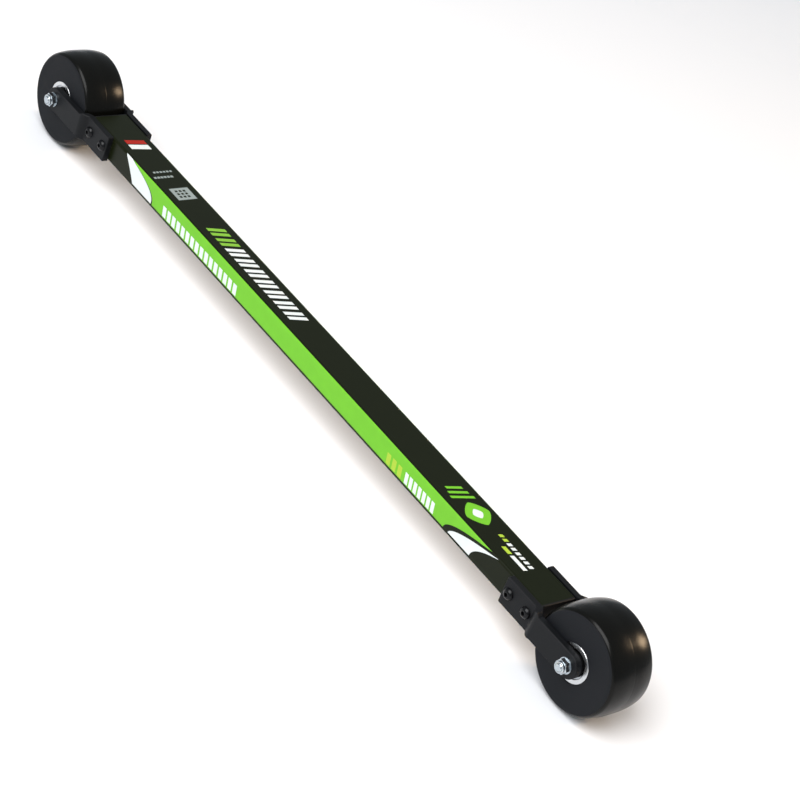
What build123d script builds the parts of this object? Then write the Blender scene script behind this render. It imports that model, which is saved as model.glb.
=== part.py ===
"""Classic roller ski: a box-section shaft carried between two wheels on bolted fork plates.

Frame: millimetres, +X towards the front wheel, +Z up, +Y to the skier's left.
The origin is on the ground, midway between the two wheels.
"""

import os
from math import atan2, sqrt, tan

from build123d import *

os.makedirs("parts", exist_ok=True)

# ---------------------------------------------------------------- wheels
WHEELBASE = 700.0
WHEEL_DIAMETER = 80.0
WHEEL_WIDTH = 40.0
TREAD_LAND = 14.0  # width of the flat band in the middle of the tread
TREAD_DROP = 2.4  # how far the tread falls away from the land to the shoulder
SHOULDER_RADIUS = 4.2
TYRE_KEY_DEPTH = 1.6  # groove round the hub that the rubber is moulded into
TYRE_KEY_WIDTH = 20.0

# ---------------------------------------------------------------- hub and bearings (608 size)
BEARING_OD = 22.0
BEARING_BORE = 8.0
BEARING_WIDTH = 7.0
BALL_DIAMETER = 3.969
BALLS_PER_BEARING = 7
HUB_WALL = 4.0  # metal ring seen round the bearing
HUB_RECESS = 0.3  # hub end below the tyre's side
BEARING_RECESS = 0.6  # bearing face below the hub end
SEAL_THICKNESS = 0.5
GROOVE_DEPTH = 0.25  # ball groove into each ring
SEAL_RECESS = 0.15  # seal face below the bearing face
SEAL_SEAT = 0.5  # how far the seal reaches into the outer ring
CAGE_RADIAL = 1.8
CAGE_TO_SEAL = 0.1  # cage's closed side to the seal
CAGE_PRONG = 0.9  # cage past the ball centres on its open side
CAGE_GAP = 0.12  # pocket to ball
HUB_SHOULDER = 1.5  # radial step in the hub that each outer ring seats on
HUB_EDGE = 0.5

# ---------------------------------------------------------------- one-way clutch in the rear hub
CLUTCH_WALL = 0.6
CLUTCH_WIDTH = 12.0
CLUTCH_ROLLER_DIAMETER = 2.0
CLUTCH_ROLLERS = 10
CLUTCH_LIP = 0.6  # radial height of the shell's lips about the roller circle
CLUTCH_CAGE_RADIAL = 1.3
CLUTCH_CAGE_END = 0.95  # closed ring at each end of the roller cage

# ---------------------------------------------------------------- axle hardware (M6)
AXLE_DIAMETER = 6.0
AXLE_CLEARANCE = 0.1  # radial gap round the axle bolt
SPACER_OD = 10.0
BUSH_FLANGE_OD = 10.8
WASHER_OD = 12.0
WASHER_CLEARANCE = 0.2  # radial gap round the axle bolt
WASHER_THICKNESS = 1.2
NUT_ACROSS_FLATS = 10.0
NUT_HEIGHT = 6.0
NUT_COLLAR_HEIGHT = 1.8  # round part that holds the nylon ring
NUT_COLLAR_WALL = 0.5
NUT_COLLAR_INSET = 0.5  # collar radius below half the width across flats
NUT_LIP = 0.4  # rolled lip over the nylon ring
NUT_LIP_CLEARANCE = 0.5  # radial gap from the lip to the axle bolt
HEX_CHAMFER = 0.45  # height of the turned corner on a hexagon
CORNER_INSET = 0.2  # turned face's radius below half the width across flats
BOLT_HEAD_HEIGHT = 4.0
BOLT_TIP = 0.8  # thread standing out of the nut
BOLT_TIP_CHAMFER = 0.5

# ---------------------------------------------------------------- shaft
SHAFT_WIDTH = 33.0
SHAFT_HEIGHT = 21.5
SHAFT_WALL = 2.2
SHAFT_CORNER = 2.2
SHAFT_INNER_CORNER = 0.8
SHAFT_RISE = 0.75  # shaft centre line above the wheel axles
TYRE_GAP = 4.0  # end cap to tyre
CAP_FLANGE = 1.5
CAP_PLUG = 2.0
CAP_EDGE = 0.5

# ---------------------------------------------------------------- forks
PLATE_THICKNESS = 5.0
PLATE_TO_TYRE = 0.8
FOOT_MARGIN = 6.25  # plate past the inner screw
FOOT_HEIGHT = 23.0
FOOT_DROP = 0.25  # foot centre line below the shaft's
FOOT_CORNER = 1.0
ARM_HEIGHT = 20.0
JOGGLE_SETBACK = 0.5  # bend starts this far before the capped end
JOGGLE_RUN = 4.5
TAPER_RUN = 3.0  # length over which the foot's height narrows to the arm's
BEND_RADIUS = 4.5  # of the plate's middle line
PLATE_EDGE = 0.4  # broken edge of the cut plate

# ---------------------------------------------------------------- fork screws (M5 button head)
SCREW_DIAMETER = 5.0
SCREW_LENGTH = 16.0
SCREW_HEAD_DIAMETER = 9.5
SCREW_HEAD_HEIGHT = 2.75
SCREW_HEAD_FLAT = 4.4  # flat top of the dome
SCREW_DOME_RADIUS = 3.7
SCREW_SOCKET = 3.0
SCREW_SOCKET_DEPTH = 1.6
SCREW_TO_BEND = 0.2  # outer screw's head to the start of the plate's bend
SCREW_SPACING = 19.5
SCREW_CLEARANCE = 0.25  # radial gap in the plate and the shaft wall

# ---------------------------------------------------------------- fork block
BLOCK_MARGIN = 8.0  # block past the inner screw
BLOCK_BORE = 9.0  # lightening hole along the block

# ---------------------------------------------------------------- fits
FIT = 0.03  # radial or one-sided gap between parts that seat on each other
THREAD_GAP = 0.05  # radial gap of a screw in its thread
RUNNING = 0.06  # rolling parts to the still race or spacer
SEAL_CLEARANCE = 0.3

# ---------------------------------------------------------------- places worked out from the sizes
AXLE_X = WHEELBASE / 2
AXLE_Z = WHEEL_DIAMETER / 2
SHAFT_Z = AXLE_Z + SHAFT_RISE
CAPPED_END = AXLE_X - WHEEL_DIAMETER / 2 - TYRE_GAP
SHAFT_END = CAPPED_END - CAP_FLANGE
INNER_WIDTH = SHAFT_WIDTH - 2 * SHAFT_WALL
INNER_HEIGHT = SHAFT_HEIGHT - 2 * SHAFT_WALL

HUB_RADIUS = BEARING_OD / 2 + HUB_WALL
HUB_END = WHEEL_WIDTH / 2 - HUB_RECESS
BEARING_OUT = HUB_END - BEARING_RECESS
BEARING_IN = BEARING_OUT - BEARING_WIDTH
BEARING_MID = BEARING_OUT - BEARING_WIDTH / 2
BALL_CIRCLE = (BEARING_OD + BEARING_BORE) / 4
BALL_RADIUS = BALL_DIAMETER / 2
RACE_GROOVE = BALL_RADIUS + RUNNING
INNER_RACE = BALL_CIRCLE - RACE_GROOVE + GROOVE_DEPTH
OUTER_RACE = BALL_CIRCLE + RACE_GROOVE - GROOVE_DEPTH
CENTRE_BORE = BEARING_OD - 2 * HUB_SHOULDER

ARM_IN = WHEEL_WIDTH / 2 + PLATE_TO_TYRE
ARM_OUT = ARM_IN + PLATE_THICKNESS
FOOT_IN = SHAFT_WIDTH / 2
FOOT_OUT = FOOT_IN + PLATE_THICKNESS
JOGGLE_START = CAPPED_END - JOGGLE_SETBACK
JOGGLE_END = JOGGLE_START + JOGGLE_RUN
BEND_ANGLE = atan2(ARM_IN - FOOT_IN, JOGGLE_RUN)
BEND_START = JOGGLE_START - BEND_RADIUS * tan(BEND_ANGLE / 2)
OUTER_SCREW = BEND_START - SCREW_HEAD_DIAMETER / 2 - SCREW_TO_BEND
SCREW_XS = (OUTER_SCREW - SCREW_SPACING, OUTER_SCREW)
FOOT_START = SCREW_XS[0] - FOOT_MARGIN
WASHER_OUT = ARM_OUT + WASHER_THICKNESS
NUT_OUT = WASHER_OUT + NUT_HEIGHT
BOLT_BORE = AXLE_DIAMETER / 2 + AXLE_CLEARANCE
ROLLER_CIRCLE = SPACER_OD / 2 + RUNNING + CLUTCH_ROLLER_DIAMETER / 2
CLUTCH_INNER = ROLLER_CIRCLE + CLUTCH_ROLLER_DIAMETER / 2 + FIT
CLUTCH_OUTER = CLUTCH_INNER + CLUTCH_WALL
CLUTCH_CAGE_LENGTH = CLUTCH_WIDTH - 2 * CLUTCH_WALL - 2 * FIT
ROLLER_SLOT = CLUTCH_CAGE_LENGTH - 2 * CLUTCH_CAGE_END
ROLLER_LENGTH = ROLLER_SLOT - 2 * CAGE_GAP

FRONT, REAR = 1, -1
LEFT, RIGHT = 1, -1
ENDS = {"front": FRONT, "rear": REAR}
SIDES = {"left": LEFT, "right": RIGHT}


def side_plane(x, side, out):
    """The plane square to a fork screw: centred at x, facing out of one side at |y| = out."""
    return Plane(origin=(x, side * out, SHAFT_Z), x_dir=(1, 0, 0), z_dir=(0, side, 0))


def profile_plane(end):
    """The half plane that a wheel part's profile is drawn on: local X = radius, local Y = along +Y."""
    return Plane(origin=(end * AXLE_X, 0, AXLE_Z), x_dir=(1, 0, 0), z_dir=(0, 0, 1))


def axle_axis(end):
    """The line of a wheel's axle."""
    return Axis((end * AXLE_X, 0, AXLE_Z), (0, 1, 0))


def save(piece, name):
    """Label one finished sub-part and write it to its own file."""
    piece.label = name
    export_step(piece, f"parts/{name}.step")
    box = piece.bounding_box()
    print(f"{name:30s} solids {len(piece.solids()):2d}  volume {piece.volume:10.1f}  "
          f"x {box.min.X:7.1f}..{box.max.X:7.1f}  y {box.min.Y:6.1f}..{box.max.Y:6.1f}  "
          f"z {box.min.Z:5.1f}..{box.max.Z:5.1f}")


# ---------------------------------------------------------------- shaft and its ends
def make_shaft():
    """Hollow box extrusion with a clearance hole for each fork screw."""
    with BuildPart() as shaft:
        with BuildSketch(Plane.YZ.offset(-SHAFT_END)):
            with Locations((0, SHAFT_Z)):
                RectangleRounded(SHAFT_WIDTH, SHAFT_HEIGHT, SHAFT_CORNER)
                RectangleRounded(INNER_WIDTH, INNER_HEIGHT, SHAFT_INNER_CORNER, mode=Mode.SUBTRACT)
        extrude(amount=2 * SHAFT_END)
        with BuildSketch(Plane.XZ.offset(-SHAFT_WIDTH)):
            with Locations([(end * x, SHAFT_Z) for end in (FRONT, REAR) for x in SCREW_XS]):
                Circle(SCREW_DIAMETER / 2 + SCREW_CLEARANCE)
        extrude(amount=2 * SHAFT_WIDTH, mode=Mode.SUBTRACT)
    return shaft.part


def make_end_cap(end):
    """Plastic plug: a flange as large as the shaft's section and a hollow spigot inside it."""
    with BuildPart() as cap:
        with BuildSketch(Plane.YZ.offset(end * SHAFT_END)):
            with Locations((0, SHAFT_Z)):
                RectangleRounded(SHAFT_WIDTH, SHAFT_HEIGHT, SHAFT_CORNER)
        extrude(amount=end * CAP_FLANGE)
        outer = cap.faces().sort_by(Axis.X)[-1 if end == FRONT else 0]
        chamfer(outer.edges(), CAP_EDGE)
        with BuildSketch(Plane.YZ.offset(end * SHAFT_END)):
            with Locations((0, SHAFT_Z)):
                RectangleRounded(INNER_WIDTH - 2 * FIT, INNER_HEIGHT - 2 * FIT, SHAFT_INNER_CORNER)
                RectangleRounded(INNER_WIDTH - 2 * SHAFT_WALL, INNER_HEIGHT - 2 * SHAFT_WALL,
                                 SHAFT_INNER_CORNER, mode=Mode.SUBTRACT)
        extrude(amount=-end * CAP_PLUG)
    return cap.part


def make_fork_block(end):
    """Block inside the shaft that the fork screws are threaded into."""
    outer_end = SHAFT_END - CAP_PLUG - FIT
    inner_end = SCREW_XS[0] - BLOCK_MARGIN
    with BuildPart() as block:
        with BuildSketch(Plane.YZ.offset(end * inner_end)):
            with Locations((0, SHAFT_Z)):
                RectangleRounded(INNER_WIDTH - 2 * FIT, INNER_HEIGHT - 2 * FIT, SHAFT_INNER_CORNER)
                Circle(BLOCK_BORE / 2, mode=Mode.SUBTRACT)
        extrude(amount=end * (outer_end - inner_end))
        with BuildSketch(Plane.XZ.offset(-SHAFT_WIDTH)):
            with Locations([(end * x, SHAFT_Z) for x in SCREW_XS]):
                Circle(SCREW_DIAMETER / 2 + THREAD_GAP)
        extrude(amount=2 * SHAFT_WIDTH, mode=Mode.SUBTRACT)
    return block.part


# ---------------------------------------------------------------- forks
def make_fork_plate(end, side):
    """Flat bar bent outwards in a joggle: its foot lies on the shaft and its arm carries the axle."""
    foot_z = SHAFT_Z - FOOT_DROP
    foot_mid = side * (FOOT_IN + FOOT_OUT) / 2
    arm_mid = side * (ARM_IN + ARM_OUT) / 2
    tip = AXLE_X + ARM_HEIGHT / 2
    top = [(JOGGLE_END + TAPER_RUN, AXLE_Z + ARM_HEIGHT / 2), (JOGGLE_END, foot_z + FOOT_HEIGHT / 2),
           (FOOT_START, foot_z + FOOT_HEIGHT / 2)]
    bottom = [(FOOT_START, foot_z - FOOT_HEIGHT / 2), (JOGGLE_END, foot_z - FOOT_HEIGHT / 2),
              (JOGGLE_END + TAPER_RUN, AXLE_Z - ARM_HEIGHT / 2)]

    def on_rim(edge):
        """True for the outer face's boundary, not for a hole's edge or a bend line."""
        spot = edge.center()
        x = abs(spot.X)
        share = min(max((x - JOGGLE_START) / JOGGLE_RUN, 0), 1)
        middle = abs(foot_mid) * (1 - share) + abs(arm_mid) * share
        near_hole = ARM_HEIGHT / 4
        inside = FOOT_START + FOOT_CORNER < x < AXLE_X + near_hole and abs(spot.Z - AXLE_Z) < near_hole
        return abs(spot.Y) > middle + PLATE_THICKNESS / 4 and not inside

    with BuildPart() as plate:
        # the bent bar seen from above, tall enough for the foot
        with BuildSketch(Plane.XY.offset(foot_z - FOOT_HEIGHT)):
            with BuildLine():
                FilletPolyline((end * FOOT_START, foot_mid), (end * JOGGLE_START, foot_mid),
                               (end * JOGGLE_END, arm_mid), (end * tip, arm_mid), radius=BEND_RADIUS)
            trace(line_width=PLATE_THICKNESS)
        extrude(amount=2 * FOOT_HEIGHT)
        # its outline seen from the side: square foot, narrower arm, round nose about the axle
        with BuildSketch(Plane.XZ.offset(-ARM_OUT - PLATE_THICKNESS)) as outline:
            with BuildLine():
                Polyline((end * AXLE_X, AXLE_Z + ARM_HEIGHT / 2), *[(end * x, z) for x, z in top + bottom],
                         (end * AXLE_X, AXLE_Z - ARM_HEIGHT / 2))
                ThreePointArc((end * AXLE_X, AXLE_Z - ARM_HEIGHT / 2), (end * tip, AXLE_Z),
                              (end * AXLE_X, AXLE_Z + ARM_HEIGHT / 2))
            make_face()
            heel = outline.vertices().sort_by(Axis.X)
            fillet(heel[:2] if end == FRONT else heel[-2:], FOOT_CORNER)
        extrude(amount=2 * (ARM_OUT + PLATE_THICKNESS), mode=Mode.INTERSECT)
        # axle hole and screw holes
        with BuildSketch(Plane.XZ.offset(-2 * ARM_OUT)):
            with Locations((end * AXLE_X, AXLE_Z)):
                Circle(BOLT_BORE)
            with Locations([(end * x, SHAFT_Z) for x in SCREW_XS]):
                Circle(SCREW_DIAMETER / 2 + SCREW_CLEARANCE)
        extrude(amount=4 * ARM_OUT, mode=Mode.SUBTRACT)
        chamfer(plate.edges().filter_by(on_rim), PLATE_EDGE)
    return plate.part


def make_fork_screws(end):
    """The four button head screws of one fork, with a hexagon socket each."""
    with BuildPart() as screws:
        for side in (LEFT, RIGHT):
            for x in SCREW_XS:
                head = side_plane(end * x, side, FOOT_OUT)
                section = Plane(origin=head.origin, x_dir=(1, 0, 0), z_dir=(0, 0, side))
                with BuildSketch(section):
                    with BuildLine():
                        Polyline((0, SCREW_HEAD_HEIGHT), (0, -SCREW_LENGTH), (SCREW_DIAMETER / 2, -SCREW_LENGTH),
                                 (SCREW_DIAMETER / 2, 0), (SCREW_HEAD_DIAMETER / 2, 0))
                        RadiusArc((SCREW_HEAD_DIAMETER / 2, 0), (SCREW_HEAD_FLAT / 2, SCREW_HEAD_HEIGHT),
                                  -SCREW_DOME_RADIUS)
                        Line((SCREW_HEAD_FLAT / 2, SCREW_HEAD_HEIGHT), (0, SCREW_HEAD_HEIGHT))
                    make_face()
                revolve(axis=Axis(head.origin, (0, side, 0)))
                with BuildSketch(head.offset(SCREW_HEAD_HEIGHT - SCREW_SOCKET_DEPTH)):
                    RegularPolygon(SCREW_SOCKET / 2, 6, major_radius=False)
                extrude(amount=2 * SCREW_SOCKET_DEPTH, mode=Mode.SUBTRACT)
    return screws.part


# ---------------------------------------------------------------- wheel
def make_tyre(end):
    """Solid rubber tyre: flat land, rounded crown, filleted shoulders, flat sides, keyed bore."""
    radius = WHEEL_DIAMETER / 2
    half = WHEEL_WIDTH / 2
    land = TREAD_LAND / 2
    bore = HUB_RADIUS + FIT
    crown = ((half - land) ** 2 + TREAD_DROP ** 2) / (2 * TREAD_DROP)
    with BuildPart() as tyre:
        with BuildSketch(profile_plane(end)) as profile:
            with BuildLine():
                Polyline((radius - TREAD_DROP, -half), (bore, -half), (bore, half), (radius - TREAD_DROP, half))
                RadiusArc((radius - TREAD_DROP, half), (radius, land), -crown)
                Line((radius, land), (radius, -land))
                RadiusArc((radius, -land), (radius - TREAD_DROP, -half), -crown)
            make_face()
            fillet(profile.vertices().group_by(Axis.X)[-2], SHOULDER_RADIUS)
            with Locations((bore, 0)):
                Rectangle(2 * TYRE_KEY_DEPTH, TYRE_KEY_WIDTH - 2 * FIT)
        revolve(axis=axle_axis(end))
    return tyre.part


def make_hub(end):
    """Turned hub: bearing seats at both ends, a smaller bore between them, a groove for the rubber.

    The rear hub's bore closes in further round the one-way clutch.
    """
    with BuildPart() as hub:
        with BuildSketch(profile_plane(end)):
            with Locations(((HUB_RADIUS + CENTRE_BORE / 2) / 2, 0)):
                Rectangle(HUB_RADIUS - CENTRE_BORE / 2, 2 * HUB_END)
            with Locations((HUB_RADIUS, 0)):
                Rectangle(2 * TYRE_KEY_DEPTH, TYRE_KEY_WIDTH, mode=Mode.SUBTRACT)
            for side in (LEFT, RIGHT):
                with Locations((0, side * (BEARING_IN + HUB_END) / 2)):
                    Rectangle(BEARING_OD + 2 * FIT, HUB_END - BEARING_IN, mode=Mode.SUBTRACT)
            if end == REAR:
                with Locations(((CLUTCH_OUTER + FIT + CENTRE_BORE / 2) / 2, 0)):
                    Rectangle(CENTRE_BORE / 2 - CLUTCH_OUTER - FIT, CLUTCH_WIDTH)
        revolve(axis=axle_axis(end))
        ends = hub.edges().filter_by(GeomType.CIRCLE).filter_by(lambda e: abs(abs(e.center().Y) - HUB_END) < FIT)
        chamfer(ends, HUB_EDGE)
    return hub.part


def make_bearing_rings(end, inner):
    """The two inner or the two outer rings of a wheel's bearings, with their ball grooves."""
    near, far = (BEARING_BORE / 2, INNER_RACE) if inner else (OUTER_RACE, BEARING_OD / 2)
    with BuildPart() as rings:
        for side in (LEFT, RIGHT):
            with BuildSketch(profile_plane(end)):
                with Locations(((near + far) / 2, side * BEARING_MID)):
                    Rectangle(far - near, BEARING_WIDTH)
                with Locations((BALL_CIRCLE, side * BEARING_MID)):
                    Circle(RACE_GROOVE, mode=Mode.SUBTRACT)
                if not inner:
                    with Locations((OUTER_RACE, side * BEARING_OUT), (OUTER_RACE, side * BEARING_IN)):
                        Rectangle(2 * (SEAL_SEAT + FIT), 2 * (SEAL_RECESS + SEAL_THICKNESS + FIT),
                                  mode=Mode.SUBTRACT)
            revolve(axis=axle_axis(end))
    return rings.part


def ball_plane(end, side):
    """The middle plane of one bearing, square to the axle."""
    return Plane(origin=(end * AXLE_X, side * BEARING_MID, AXLE_Z), x_dir=(1, 0, 0), z_dir=(0, side, 0))


def make_bearing_balls(end):
    """All the balls of a wheel's two bearings."""
    with BuildPart() as balls:
        for side in (LEFT, RIGHT):
            with Locations(ball_plane(end, side)):
                with PolarLocations(BALL_CIRCLE, BALLS_PER_BEARING):
                    Sphere(BALL_RADIUS)
    return balls.part


def make_bearing_cages(end):
    """Two moulded crown cages: a ring closed behind the balls, with pockets open towards the hub's middle."""
    reach = BEARING_WIDTH / 2 - SEAL_RECESS - SEAL_THICKNESS - CAGE_TO_SEAL
    with BuildPart() as cages:
        for side in (LEFT, RIGHT):
            with BuildSketch(ball_plane(end, side).offset(reach)):
                Circle(BALL_CIRCLE + CAGE_RADIAL / 2)
                Circle(BALL_CIRCLE - CAGE_RADIAL / 2, mode=Mode.SUBTRACT)
            extrude(amount=-reach - CAGE_PRONG)
            with Locations(ball_plane(end, side)):
                with PolarLocations(BALL_CIRCLE, BALLS_PER_BEARING):
                    Sphere(BALL_RADIUS + CAGE_GAP, mode=Mode.SUBTRACT)
    return cages.part


def make_bearing_seals(end):
    """The four rubber seals of a wheel's bearings, held in the outer rings and clear of the inner ones."""
    near, far = INNER_RACE + SEAL_CLEARANCE, OUTER_RACE + SEAL_SEAT
    depth = SEAL_RECESS + SEAL_THICKNESS / 2
    with BuildPart() as seals:
        with BuildSketch(profile_plane(end)):
            for side in (LEFT, RIGHT):
                for along in (BEARING_OUT - depth, BEARING_IN + depth):
                    with Locations(((near + far) / 2, side * along)):
                        Rectangle(far - near, SEAL_THICKNESS)
        revolve(axis=axle_axis(end))
    return seals.part


# ---------------------------------------------------------------- one-way clutch
def make_clutch_shell():
    """Drawn steel cup with a lip at each end, pressed in the rear hub."""
    with BuildPart() as shell:
        with BuildSketch(profile_plane(REAR)):
            with Locations(((CLUTCH_INNER + CLUTCH_OUTER) / 2, 0)):
                Rectangle(CLUTCH_WALL, CLUTCH_WIDTH)
            lip = CLUTCH_OUTER - (ROLLER_CIRCLE - CLUTCH_LIP / 2)
            for along in (1, -1):
                with Locations((CLUTCH_OUTER - lip / 2, along * (CLUTCH_WIDTH - CLUTCH_WALL) / 2)):
                    Rectangle(lip, CLUTCH_WALL)
        revolve(axis=axle_axis(REAR))
    return shell.part


def roller_plane(length):
    """A plane square to the rear axle from which a piece of this length, drawn along +Y, is centred."""
    return Plane(origin=(-AXLE_X, -length / 2, AXLE_Z), x_dir=(1, 0, 0), z_dir=(0, 1, 0))


def make_clutch_rollers():
    """The clutch's needle rollers on their circle round the spacer."""
    with BuildPart() as rollers:
        with BuildSketch(roller_plane(ROLLER_LENGTH)):
            with PolarLocations(ROLLER_CIRCLE, CLUTCH_ROLLERS):
                Circle(CLUTCH_ROLLER_DIAMETER / 2)
        extrude(amount=ROLLER_LENGTH)
    return rollers.part


def make_clutch_cage():
    """Moulded sleeve with a slot for each roller."""
    with BuildPart() as cage:
        with BuildSketch(roller_plane(CLUTCH_CAGE_LENGTH)):
            Circle(ROLLER_CIRCLE + CLUTCH_CAGE_RADIAL / 2)
            Circle(ROLLER_CIRCLE - CLUTCH_CAGE_RADIAL / 2, mode=Mode.SUBTRACT)
        extrude(amount=CLUTCH_CAGE_LENGTH)
        with BuildSketch(roller_plane(ROLLER_SLOT)):
            with PolarLocations(ROLLER_CIRCLE, CLUTCH_ROLLERS):
                Circle(CLUTCH_ROLLER_DIAMETER / 2 + CAGE_GAP)
        extrude(amount=ROLLER_SLOT, mode=Mode.SUBTRACT)
    return cage.part


# ---------------------------------------------------------------- axle hardware
def make_bearing_spacer(end):
    """Tube between the inner rings, clamped by the axle bolt."""
    with BuildPart() as spacer:
        with BuildSketch(profile_plane(end)):
            with Locations(((SPACER_OD / 2 + BOLT_BORE) / 2, 0)):
                Rectangle(SPACER_OD / 2 - BOLT_BORE, 2 * BEARING_IN)
        revolve(axis=axle_axis(end))
    return spacer.part


def make_axle_bushes(end):
    """Two stepped bushes: a spigot in the bearing bore and a flange between inner ring and fork arm."""
    with BuildPart() as bushes:
        with BuildSketch(profile_plane(end)):
            for side in (LEFT, RIGHT):
                with Locations(((BUSH_FLANGE_OD / 2 + BOLT_BORE) / 2, side * (ARM_IN + BEARING_OUT) / 2)):
                    Rectangle(BUSH_FLANGE_OD / 2 - BOLT_BORE, ARM_IN - BEARING_OUT)
                with Locations(((BEARING_BORE / 2 - FIT + BOLT_BORE) / 2, side * BEARING_MID)):
                    Rectangle(BEARING_BORE / 2 - FIT - BOLT_BORE, BEARING_WIDTH)
        revolve(axis=axle_axis(end))
    return bushes.part


def make_axle_washers(end):
    """The washers under the axle's nut and bolt head."""
    bore = AXLE_DIAMETER / 2 + WASHER_CLEARANCE
    with BuildPart() as washers:
        with BuildSketch(profile_plane(end)):
            for side in (LEFT, RIGHT):
                with Locations(((WASHER_OD / 2 + bore) / 2, side * (WASHER_OUT + ARM_OUT) / 2)):
                    Rectangle(WASHER_OD / 2 - bore, WASHER_THICKNESS)
        revolve(axis=axle_axis(end))
    return washers.part


def hexagon_plane(end, side, out):
    """A plane square to the axle at a distance out on one side, its normal pointing outwards."""
    return Plane(origin=(end * AXLE_X, side * out, AXLE_Z), x_dir=(1, 0, 0), z_dir=(0, side, 0))


def turned_corners(end, side, near, far):
    """Profile that a hexagon is cut to, so that its corners are turned off at the outer face."""
    corner = NUT_ACROSS_FLATS / sqrt(3)
    with BuildSketch(profile_plane(end)) as profile:
        with BuildLine():
            Polyline((0, side * near), (corner, side * near), (corner, side * (far - HEX_CHAMFER)),
                     (NUT_ACROSS_FLATS / 2 - CORNER_INSET, side * far), (0, side * far), (0, side * near))
        make_face()
    return profile.sketch


def make_axle_bolt(end):
    """Hexagon bolt put in from the left, its chamfered tip just past the nut on the right."""
    radius = AXLE_DIAMETER / 2
    head_out = WASHER_OUT + BOLT_HEAD_HEIGHT
    tip = -(NUT_OUT + BOLT_TIP)
    with BuildPart() as bolt:
        with BuildSketch(hexagon_plane(end, LEFT, WASHER_OUT)):
            RegularPolygon(NUT_ACROSS_FLATS / 2, 6, major_radius=False)
        extrude(amount=BOLT_HEAD_HEIGHT)
        revolve(turned_corners(end, LEFT, WASHER_OUT, head_out), axis=axle_axis(end), mode=Mode.INTERSECT)
        with BuildSketch(profile_plane(end)):
            with BuildLine():
                Polyline((0, tip), (radius - BOLT_TIP_CHAMFER, tip), (radius, tip + BOLT_TIP_CHAMFER),
                         (radius, WASHER_OUT), (0, WASHER_OUT), (0, tip))
            make_face()
        revolve(axis=axle_axis(end))
    return bolt.part


def make_axle_nut(end):
    """Locking nut: a hexagon and a round collar with a groove for the nylon ring."""
    bore = AXLE_DIAMETER / 2 + THREAD_GAP
    collar = NUT_ACROSS_FLATS / 2 - NUT_COLLAR_INSET
    lip = AXLE_DIAMETER / 2 + NUT_LIP_CLEARANCE
    groove = NUT_OUT - NUT_COLLAR_HEIGHT
    with BuildPart() as nut:
        with BuildSketch(hexagon_plane(end, RIGHT, WASHER_OUT)):
            RegularPolygon(NUT_ACROSS_FLATS / 2, 6, major_radius=False)
        extrude(amount=groove - WASHER_OUT)
        revolve(turned_corners(end, RIGHT, WASHER_OUT, groove), axis=axle_axis(end), mode=Mode.INTERSECT)
        with BuildSketch(profile_plane(end)):
            with BuildLine():
                Polyline((0, -groove), (collar, -groove), (collar, -(NUT_OUT - HEX_CHAMFER)))
                RadiusArc((collar, -(NUT_OUT - HEX_CHAMFER)), (collar - HEX_CHAMFER, -NUT_OUT), HEX_CHAMFER)
                Polyline((collar - HEX_CHAMFER, -NUT_OUT), (0, -NUT_OUT), (0, -groove))
            make_face()
        revolve(axis=axle_axis(end))
        with BuildSketch(profile_plane(end)):
            with BuildLine():
                Polyline((0, -WASHER_OUT), (bore, -WASHER_OUT), (bore, -groove), (collar - NUT_COLLAR_WALL, -groove),
                         (collar - NUT_COLLAR_WALL, -(NUT_OUT - NUT_LIP)), (lip, -(NUT_OUT - NUT_LIP)),
                         (lip, -NUT_OUT), (0, -NUT_OUT), (0, -WASHER_OUT))
            make_face()
        revolve(axis=axle_axis(end), mode=Mode.SUBTRACT)
    return nut.part


def make_nut_ring(end):
    """Nylon locking ring in the nut's collar."""
    outer = NUT_ACROSS_FLATS / 2 - NUT_COLLAR_INSET - NUT_COLLAR_WALL - FIT
    inner = AXLE_DIAMETER / 2 + THREAD_GAP
    height = NUT_COLLAR_HEIGHT - NUT_LIP - 2 * FIT
    with BuildPart() as ring:
        with BuildSketch(profile_plane(end)):
            with Locations(((outer + inner) / 2, -(NUT_OUT - NUT_LIP - FIT - height / 2))):
                Rectangle(outer - inner, height)
        revolve(axis=axle_axis(end))
    return ring.part


# ---------------------------------------------------------------- every sub-part
save(make_shaft(), "shaft")
save(make_clutch_shell(), "rear_clutch_shell")
save(make_clutch_rollers(), "rear_clutch_rollers")
save(make_clutch_cage(), "rear_clutch_cage")
for end_name, end in ENDS.items():
    for side_name, side in SIDES.items():
        save(make_fork_plate(end, side), f"{end_name}_{side_name}_fork_plate")
    save(make_end_cap(end), f"{end_name}_end_cap")
    save(make_fork_block(end), f"{end_name}_fork_block")
    save(make_fork_screws(end), f"{end_name}_fork_screws")
    save(make_tyre(end), f"{end_name}_tyre")
    save(make_hub(end), f"{end_name}_hub")
    save(make_bearing_rings(end, inner=False), f"{end_name}_bearing_outer_rings")
    save(make_bearing_rings(end, inner=True), f"{end_name}_bearing_inner_rings")
    save(make_bearing_balls(end), f"{end_name}_bearing_balls")
    save(make_bearing_cages(end), f"{end_name}_bearing_cages")
    save(make_bearing_seals(end), f"{end_name}_bearing_seals")
    save(make_bearing_spacer(end), f"{end_name}_bearing_spacer")
    save(make_axle_bushes(end), f"{end_name}_axle_bushes")
    save(make_axle_washers(end), f"{end_name}_axle_washers")
    save(make_axle_bolt(end), f"{end_name}_axle_bolt")
    save(make_axle_nut(end), f"{end_name}_axle_nut")
    save(make_nut_ring(end), f"{end_name}_nut_ring")
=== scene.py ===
"""Finishes a classic roller ski: printed film on the shaft, moulded wheels, coated forks and plated hardware.

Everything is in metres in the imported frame: +X towards the front wheel, +Z up, +Y to the skier's left.
"""

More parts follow.
